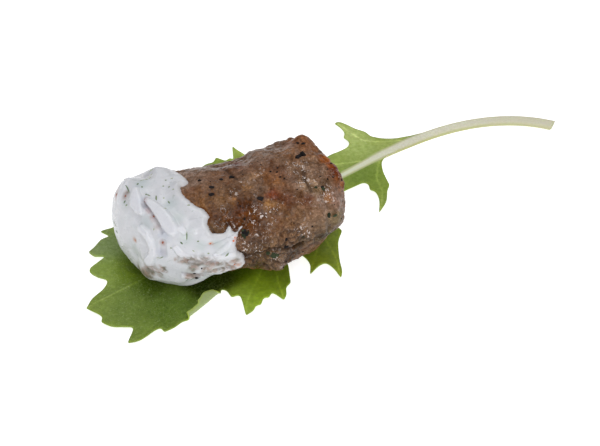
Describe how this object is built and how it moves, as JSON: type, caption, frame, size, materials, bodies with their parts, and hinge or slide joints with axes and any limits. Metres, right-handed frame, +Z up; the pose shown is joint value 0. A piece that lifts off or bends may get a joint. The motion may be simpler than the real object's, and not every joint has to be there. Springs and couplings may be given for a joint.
{
  "type": "lamb kofta kebab",
  "caption": "Short blunt roll of grilled minced lamb, its end coated with thick herb yoghurt, lying on a lobed green salad leaf with a long pale curved stalk.",
  "frame": {"origin": "middle of the whole object's footprint, on the table it lies on", "axes": "+X from the yoghurt end of the kofta towards the cut end of the leaf's stalk, +Y away from the side that the picture shows, +Z up"},
  "size_m": [0.1471, 0.062, 0.0299],
  "materials": {
    "kofta": "browned, moist minced meat",
    "yoghurt": "thick white yoghurt with chopped herbs",
    "leaf": "fresh green leaf, pale stalk"
  },
  "bodies": {
    "root": {"kofta": "kofta", "yoghurt": "yoghurt", "leaf": "leaf"}
  },
  "joints": []
}
